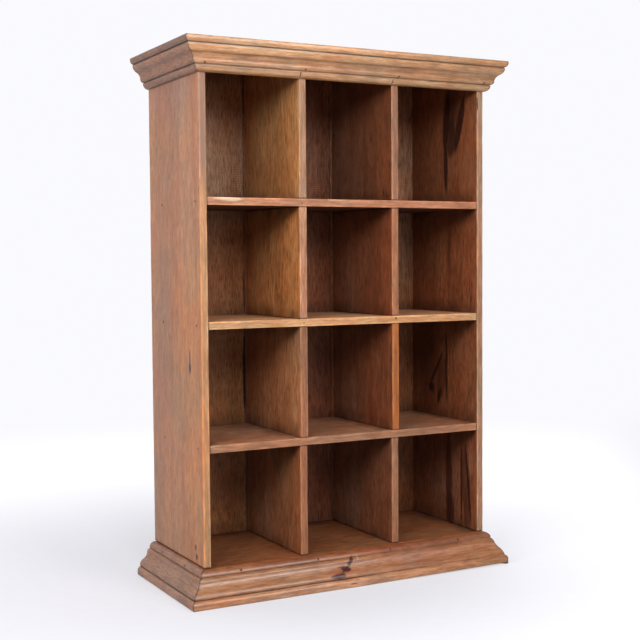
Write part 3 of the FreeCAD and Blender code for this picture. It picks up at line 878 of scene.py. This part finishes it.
left_section = [(left, front), (inner_left, front), (inner_left, shelf_back),
                (rebate_left, shelf_back), (rebate_left, back), (left, back)]
right_section = [(inner_right, front), (right, front), (right, back),
                 (rebate_right, back), (rebate_right, shelf_back), (inner_right, shelf_back)]
side_board("left_side", left_section, LEFT_SIDE_SEED, SATIN, ("X", inner_left))
side_board("right_side", right_section, RIGHT_SIDE_SEED, DRY, ("X", inner_right))

for seed, (shelf, row) in enumerate(zip(SHELVES, ROWS[1:]), start=SHELF_SEED):
    low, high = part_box(f"{shelf}_shelf")
    low.x, high.x = inner_left, inner_right
    uprights = [("X", corner.x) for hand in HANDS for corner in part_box(f"{row}_row_{hand}_divider")]
    plain_board(f"{shelf}_shelf", X, seed, uprights + inner_faces, box=(low, high))

for seed, row in enumerate(ROWS, start=DIVIDER_SEED):
    for hand in HANDS:
        node = f"{row}_row_{hand}_divider"
        joints = [("Z", corner.z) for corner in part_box(node)]
        own_seed = seed + (LEFT_DIVIDER_SEED_STEP if hand == "left" else 0.0)
        plain_board(node, Z, own_seed, joints, foot_gap=FOOT_GAP if row == "bottom" else 0.0)

# The back boards are widened into their joints, so that less light shows between them, and their long
# arrises are painted dark, as painted shade in those joints
for seed, where in enumerate(("left", "middle", "right"), start=BACK_SEED):
    low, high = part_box(f"{where}_back_board")
    low.x -= 0.0 if where == "left" else BACK_WIDENING
    high.x += 0.0 if where == "right" else BACK_WIDENING
    inner = ("Y", shelf_back)
    plain_board(f"{where}_back_board", Z, seed, levels, inner, (low, high), arris_wear_and_shading=BACK_ARRIS_SHADE)

plain_board("bottom_board", X, BOTTOM_SEED, inner_faces, ("Z", plinth_top))
plain_board("top_board", X, TOP_SEED)
plain_board("plinth_back_rail", X, RAIL_SEED)


# Cornice and plinth

def arc(across, up, radius, begin, finish):
    """Points of an arc, in degrees."""
    turns = [math.radians(begin + (finish - begin) * step / ARC_STEPS) for step in range(ARC_STEPS + 1)]
    return [(across + radius * math.cos(turn), up + radius * math.sin(turn)) for turn in turns]


def moulding_section(height, wear_and_shading_of):
    """Section of the moulding as (reach, rise, wear and shading, grime and shade), counted from the end
    with the bead.
    """
    roll_reach = BEAD_RADIUS - QUIRK
    ogee_foot = BEAD_RADIUS + QUIRK + ROLL_RADIUS
    ogee_top = ogee_foot + OGEE_RISE
    cove_reach = roll_reach + ROLL_RADIUS
    ovolo_reach = reach_full - NOSE_STEP
    nose_foot = ogee_top + QUIRK
    ogee_turn = 2 * math.atan2(ovolo_reach - cove_reach, OGEE_RISE)
    ogee_radius = OGEE_RISE / (2 * math.sin(ogee_turn))
    ogee_degrees = math.degrees(ogee_turn)
    swell_out = NOSE_STEP + QUIRK
    swell_radius = (swell_out ** 2 + NOSE_SWELL ** 2) / (2 * swell_out)
    swell_degrees = math.degrees(math.asin(NOSE_SWELL / swell_radius))

    bead = arc(0.0, BEAD_RADIUS, BEAD_RADIUS, DOWN, OUT)
    lower_quirk = [(roll_reach, BEAD_RADIUS)]
    roll = arc(roll_reach, ogee_foot, ROLL_RADIUS, DOWN, OUT)
    cove = arc(cove_reach + ogee_radius, ogee_foot, ogee_radius, IN, IN - ogee_degrees)[1:]
    ovolo = arc(ovolo_reach - ogee_radius, ogee_top, ogee_radius, -ogee_degrees, OUT)[1:]
    upper_quirk = [(ovolo_reach - QUIRK, ogee_top), (ovolo_reach - QUIRK, nose_foot)]
    nose = arc(reach_full - swell_radius, nose_foot + NOSE_SWELL, swell_radius, -swell_degrees, OUT)[1:]
    nose += arc(reach_full - NOSE_ROUND, height - NOSE_ROUND, NOSE_ROUND, OUT, UP)

    section = []
    # The quirks and their sides are painted dark: grime and painted shade in the hollows
    for points, wear_and_shading, grime_and_shade in (
            (bead, wear_and_shading_of["bead"], 0.0),
            (lower_quirk, 0.0, 1.0),
            (roll, wear_and_shading_of["roll"], 0.0),
            (cove, wear_and_shading_of["cove"], 0.0),
            (ovolo, wear_and_shading_of["ovolo"], 0.0),
            (upper_quirk, 0.0, 1.0),
            (nose, wear_and_shading_of["nose"], 0.0),
            ([(0.0, height)], 0.0, 0.0)):
        section += [(*point, wear_and_shading, grime_and_shade) for point in points]
    quirks = [number for number, (_, _, _, grime_and_shade) in enumerate(section) if grime_and_shade]
    for number in quirks:
        for beside in (number - 1, number + 1):
            reach, rise, wear_and_shading, grime_and_shade = section[beside]
            section[beside] = (reach, rise, wear_and_shading, max(grime_and_shade, BESIDE_QUIRK_SHARE))
    return section


def rubbing(node, where, share):
    """How much a strip is rubbed: not at all but for the plinth, and there more and more to the right."""
    if where == "left" or not node.startswith("plinth"):
        return 0.0
    towards_right = share * 2 - 1 if where == "front" else 1.0
    return min(1.0, max(0.0, towards_right / FULL_USE_SHARE))


def rubbed(reach, rise, share):
    """Reach of the moulding where feet and brooms have rubbed its rolls and hollows towards one slope."""
    foot = BEAD_RADIUS
    head = BEAD_RADIUS + ROLL_RADIUS + OGEE_RISE + 2 * QUIRK
    if not foot <= rise <= head:
        return reach
    slope = foot + (reach_full - NOSE_STEP - foot) * (rise - foot) / (head - foot)
    return reach + (slope - reach) * share


def moulding_point(where, share, reach, level):
    """A point of a strip at a share of its length: from the left at the front, from the back at a side."""
    if where == "front":
        half = right + reach - MITRE_GAP
        return Vector(((share * 2 - 1) * half, front - reach, level))
    across = left - reach if where == "left" else right + reach
    nose = front - reach + MITRE_GAP
    return Vector((across, back + (nose - back) * share, level))


def moulding(kind, where, seed):
    """One strip of the cornice or the plinth, mitred at the front corners and square at the back."""
    node = f"{kind}_{where}"
    low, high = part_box(node)
    at_front = where == "front"
    turned_over = kind == "plinth"
    height = high.z - low.z
    section = moulding_section(height, MOULDING_WEAR_AND_SHADING[f"{kind}_front" if at_front else f"{kind}_side"])
    length = high.x - low.x if at_front else high.y - low.y
    near = GRIME_AND_SHADE_REACH / length
    rings = []
    for share in [0.0, near] + spaced(near, 1 - near, MOULDING_STEP / length) + [1 - near, 1.0]:
        ring = []
        use = rubbing(node, where, share)
        at_mitre = share == 1.0 or (share == 0.0 and at_front)
        for reach, rise, wear_and_shading, grime_and_shade in section:
            level = high.z - rise if turned_over else low.z + rise
            point = moulding_point(where, share, rubbed(reach, rise, RUBBED_SHARE * use), level)
            if turned_over and at_front:
                point.z += PLINTH_LIFT * max(0.0, point.x / right) * rise / height
            # Mitres are painted dark as grimy joints; the quirks lose grime and painted shade where the
            # plinth is rubbed
            grime_and_shade = 1.0 if at_mitre else grime_and_shade * (1 - CLEANED_AND_UNSHADED_SHARE * use)
            ring.append((wobble(point, seed, MOULDING_WOBBLE), wear_and_shading, grime_and_shade))
        rings.append(ring)
    shape = Shape()
    shape.loft(rings)
    look = wood(node, X, seed, WAXED) if at_front else wood(node, Y, seed, SATIN)
    make(node, shape, look, MOULDING_SMOOTH)
    return shape.tree()


strips = [(kind, where) for kind in ("cornice", "plinth") for where in ("front", "left", "right")]
surfaces = {}
for seed, (kind, where) in enumerate(strips, start=MOULDING_SEED):
    surfaces[f"{kind}_{where}"] = moulding(kind, where, seed)


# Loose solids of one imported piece

def islands(node):
    """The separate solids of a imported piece, each as a list of its corners."""
    work = bmesh.new()
    work.from_mesh(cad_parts[node].data)
    bmesh.ops.remove_doubles(work, verts=work.verts, dist=MERGE_DISTANCE)
    seen = set()
    found = []
    for start in work.verts:
        if start in seen:
            continue
        seen.add(start)
        waiting = [start]
        corners = []
        while waiting:
            vertex = waiting.pop()
            corners.append(vertex.co.copy())
            for edge in vertex.link_edges:
                other = edge.other_vert(vertex)
                if other not in seen:
                    seen.add(other)
                    waiting.append(other)
        found.append(corners)
    work.free()
    return found


def lowest_and_highest(corners):
    """The box round some points, as its lowest and highest corner."""
    return (Vector([min(corner[axis] for corner in corners) for axis in range(3)]),
            Vector([max(corner[axis] for corner in corners) for axis in range(3)]))


blocks = Shape()
for seed, corners in enumerate(islands("plinth_glue_blocks"), start=BLOCK_SEED):
    low, high = lowest_and_highest(corners)
    board(blocks, Z, rectangle(Z, low, high), low.z, high.z, seed)
make("plinth_glue_blocks", blocks, wood("plinth_glue_blocks", Z, BLOCK_SEED, DRY), BOARD_SMOOTH)


# Nails and pins

iron_look = iron("nail_iron_look")
chance = random.Random(NOISE_SEED)


def middle(points):
    return sum(points, Vector((0.0, 0.0, 0.0))) / len(points)


def on_surface(surface, point, out):
    """Where a line from outside through a point meets a moulding, a little proud of it."""
    return surface.ray_cast(point + out * reach_full, -out)[0] + out * PIN_PROUD


def nail(shape, corners, surface=None):
    """A square cut nail with a hammered head, a little proud of the wood or of the moulding round it."""
    low, high = lowest_and_highest(corners)
    spans = list(high - low)
    axis = spans.index(max(spans))
    ends = [[corner for corner in corners if corner[axis] == end[axis]] for end in (low, high)]
    tip, head = sorted(ends, key=lambda end: (end[0] - middle(end)).length)
    foot, top = middle(tip), middle(head)
    out = (top - foot).normalized()
    side = out.orthogonal().normalized()
    other = out.cross(side)
    tip_radius = (tip[0] - foot).length
    head_radius = (head[0] - top).length
    rings = [[], [], [], []]
    for number in range(NAIL_SIDES):
        turn = 2 * math.pi * number / NAIL_SIDES
        way = (side * math.cos(turn) + other * math.sin(turn)) * chance.uniform(*HAMMERED_SHARES)
        neck = top + way * head_radius
        crown = top + way * head_radius * DOME_SHARE
        if surface:
            rim, dome = on_surface(surface, neck, out), on_surface(surface, crown, out)
        else:
            rim, dome = neck + out * NAIL_PROUD / 2, crown + out * NAIL_PROUD
        for ring, point in zip(rings, (foot + way * tip_radius, neck, rim, dome)):
            ring.append((point, 0.0, 0.0))
    shape.loft(rings)


def surface_of(kind, corners):
    """The moulding that a pin is sunk in, found by where the pin is."""
    at = middle(corners)
    behind_corner = at.y > front + 2 * BEAD_RADIUS
    if behind_corner and at.x < left + BEAD_RADIUS:
        return surfaces[f"{kind}_left"]
    if behind_corner and at.x > right - BEAD_RADIUS:
        return surfaces[f"{kind}_right"]
    return surfaces[f"{kind}_front"]


for node in ("shelf_nails", "top_nails", "bottom_nails", "divider_nails", "back_nails"):
    group = Shape()
    for corners in islands(node):
        nail(group, corners)
    make(node, group, iron_look, NAIL_SMOOTH)
for kind in ("cornice", "plinth"):
    group = Shape()
    for corners in islands(f"{kind}_pins"):
        nail(group, corners, surface_of(kind, corners))
    make(f"{kind}_pins", group, iron_look, NAIL_SMOOTH)


# Studio: a pale floor, a bright backdrop behind, and soft light from the front

FLOOR_RADIUS = 100.0
FLOOR_SIDES = 96
FLOOR_DROP = 0.0003
FLOOR_GRAINS_PER_METRE, FLOOR_DETAIL = 40.0, 4.0
FLOOR_GRAIN_SPAN, FLOOR_ROUGHNESS = (0.3, 0.7), (0.55, 0.7)
FLOOR_AWAY_SPAN = (0.3, 2.2)
# The floor glows less round the rack than further off: a painted shadow of the rack
GLOW_CENTRE = (-0.2, 0.0, 0.0)
GLOW_SPAN, GLOW_SHARES = (0.1, 1.4), (0.35, 1.0)
BACKDROP_SPAN = (0.0, 0.6)


def sky(graph, direction):
    """Colour of the studio in a direction: a bright backdrop behind the rack, a dimmer room in front."""
    behind = graph.node("SeparateXYZ", "Y", {"Vector": direction})
    return graph.mix(graph.ease(behind, BACKDROP_SPAN), STUDIO_GREY, STUDIO_WHITE)


def floor_look():
    """A pale floor that glows less round the rack, as a painted shadow, and turns into the backdrop further
    off.
    """
    material, graph, shader = new_material("floor_look")
    place = graph.node("TexCoord", "Object", {})
    grain = graph.noise(place, FLOOR_GRAINS_PER_METRE, FLOOR_DETAIL)
    away = graph.ease(graph.vector("LENGTH", place, output="Value"), FLOOR_AWAY_SPAN)
    from_centre = graph.vector("DISTANCE", place, GLOW_CENTRE, output="Value")
    near_tone = graph.mix(grain, FLOOR_SHADED, FLOOR_PALE)
    far_tone = sky(graph, graph.vector("NORMALIZE", place))
    graph.feed(shader.inputs["Base Color"], graph.mix(away, near_tone, BLACK))
    graph.feed(shader.inputs["Roughness"], graph.ease(grain, FLOOR_GRAIN_SPAN, FLOOR_ROUGHNESS))
    graph.feed(shader.inputs["Emission Color"], graph.mix(away, STUDIO_WHITE, far_tone))
    graph.feed(shader.inputs["Emission Strength"], graph.ease(from_centre, GLOW_SPAN, GLOW_SHARES))
    shader.inputs["Specular IOR Level"].default_value = 0.0
    return material


mesh = bpy.data.meshes.new("floor")
turns = [2 * math.pi * number / FLOOR_SIDES for number in range(FLOOR_SIDES)]
rim = [(FLOOR_RADIUS * math.cos(turn), FLOOR_RADIUS * math.sin(turn), -FLOOR_DROP) for turn in turns]
mesh.from_pydata(rim, [], [tuple(range(FLOOR_SIDES))])
mesh.materials.append(floor_look())
floor = bpy.data.objects.new("floor", mesh)
bpy.context.scene.collection.objects.link(floor)
floor.visible_diffuse = False

world = bpy.data.worlds.new("studio")
world.use_nodes = True
bpy.context.scene.world = world
world_graph = Graph(world)
direction = world_graph.node("TexCoord", "Generated", {})
world_graph.feed(world.node_tree.nodes["Background"].inputs["Color"], sky(world_graph, direction))

# Square softboxes: where each stands, the point it faces, its width and its power in watts
RACK_MIDDLE = (0.0, 0.0, 0.45)
SOFTBOXES = {
    "key_left": ((-1.3, -1.19, 1.28), RACK_MIDDLE, 0.6, 15.4),
    "key_middle": ((-0.58, -1.7, 1.3), RACK_MIDDLE, 0.6, 12.8),
    "key_right": ((0.3, -1.77, 1.8), RACK_MIDDLE, 0.6, 7.5),
    "side_fill": ((-2.75, -0.74, 1.3), RACK_MIDDLE, 1.2, 34.0),
    "front_fill": ((0.9, -2.8, 1.1), RACK_MIDDLE, 1.2, 32.0),
    "bounce": ((-0.3, -1.0, 0.02), (-0.3, -1.0, 1.0), 1.4, 5.0),
}
for name, (place, aim, width, power) in SOFTBOXES.items():
    lamp = bpy.data.lights.new(name, "AREA")
    lamp.shape = "SQUARE"
    lamp.size = width
    lamp.energy = power
    softbox = bpy.data.objects.new(name, lamp)
    softbox.location = place
    softbox.rotation_euler = (Vector(aim) - Vector(place)).to_track_quat("-Z", "Y").to_euler()
    softbox.visible_camera = False
    bpy.context.scene.collection.objects.link(softbox)

bpy.context.scene.view_settings.view_transform = "Standard"


# Camera

CAMERA_AIM = Vector((-0.0585, -0.09625, 0.4468))
CAMERA_DISTANCE = 1.98638
CAMERA_AZIMUTH = math.radians(-28.0)
CAMERA_ELEVATION = math.radians(2.92)
CAMERA_ROLL = math.radians(-0.414)
SENSOR_MILLIMETRES = 36.0
LENS_MILLIMETRES = 67.53

lens = bpy.data.cameras.new("camera")
lens.sensor_width = SENSOR_MILLIMETRES
lens.lens = LENS_MILLIMETRES
camera = bpy.data.objects.new("camera", lens)
level = math.cos(CAMERA_ELEVATION)
outward = Vector((math.sin(CAMERA_AZIMUTH) * level,
                  -math.cos(CAMERA_AZIMUTH) * level,
                  math.sin(CAMERA_ELEVATION)))
sideways = Vector((0.0, 0.0, 1.0)).cross(outward).normalized()
turn = Matrix((sideways, outward.cross(sideways), outward)).transposed()
camera.matrix_world = (Matrix.Translation(CAMERA_AIM + outward * CAMERA_DISTANCE)
                       @ turn.to_4x4() @ Matrix.Rotation(CAMERA_ROLL, 4, "Z"))
bpy.context.scene.collection.objects.link(camera)
bpy.context.scene.camera = camera
